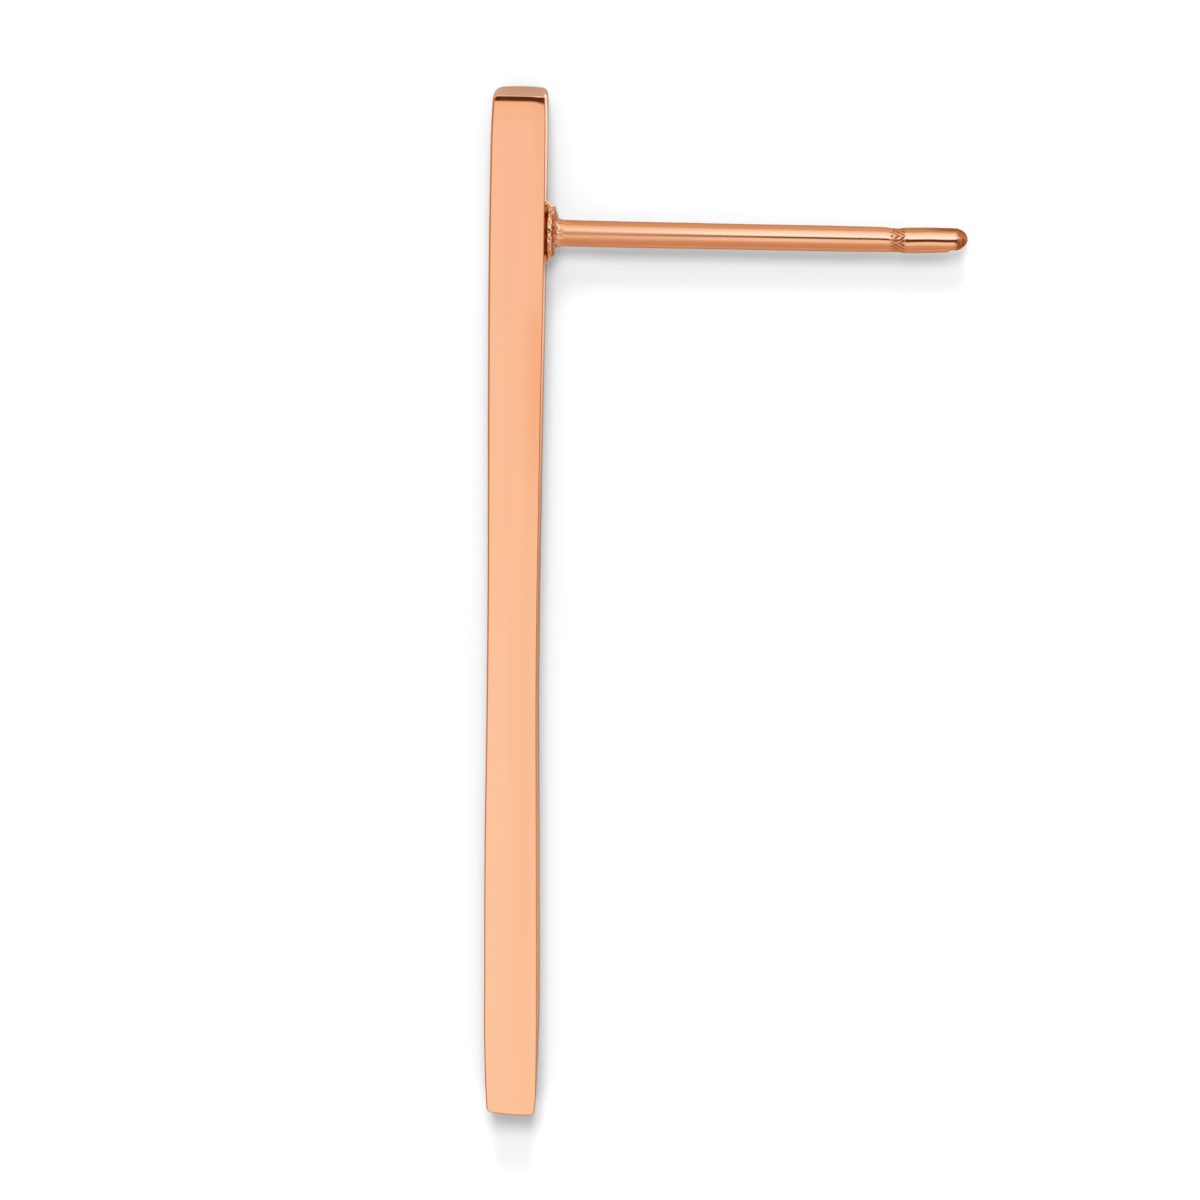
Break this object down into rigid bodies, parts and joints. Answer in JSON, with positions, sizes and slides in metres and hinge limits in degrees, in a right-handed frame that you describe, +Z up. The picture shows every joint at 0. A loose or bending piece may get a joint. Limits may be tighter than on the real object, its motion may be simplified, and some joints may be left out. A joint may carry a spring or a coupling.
{
  "type": "bar stud earring",
  "caption": "Straight square-edged metal bar worn upright on the earlobe, with a notched ear post soldered near one end of its back.",
  "frame": {"origin": "on the side face that the bar rests on, at half the bar's thickness and level with the post's axis", "axes": "+X along the post, away from the bar's back face; +Y along the bar, towards the end nearer the post; +Z up from the resting face, across the bar's width"},
  "size_m": [0.0123, 0.0271, 0.0016],
  "materials": {
    "rose_gold": "polished rose gold with fine polishing lines, crinkled where it was soldered"
  },
  "bodies": {
    "root": {"bar_with_post": "rose_gold"}
  },
  "joints": []
}
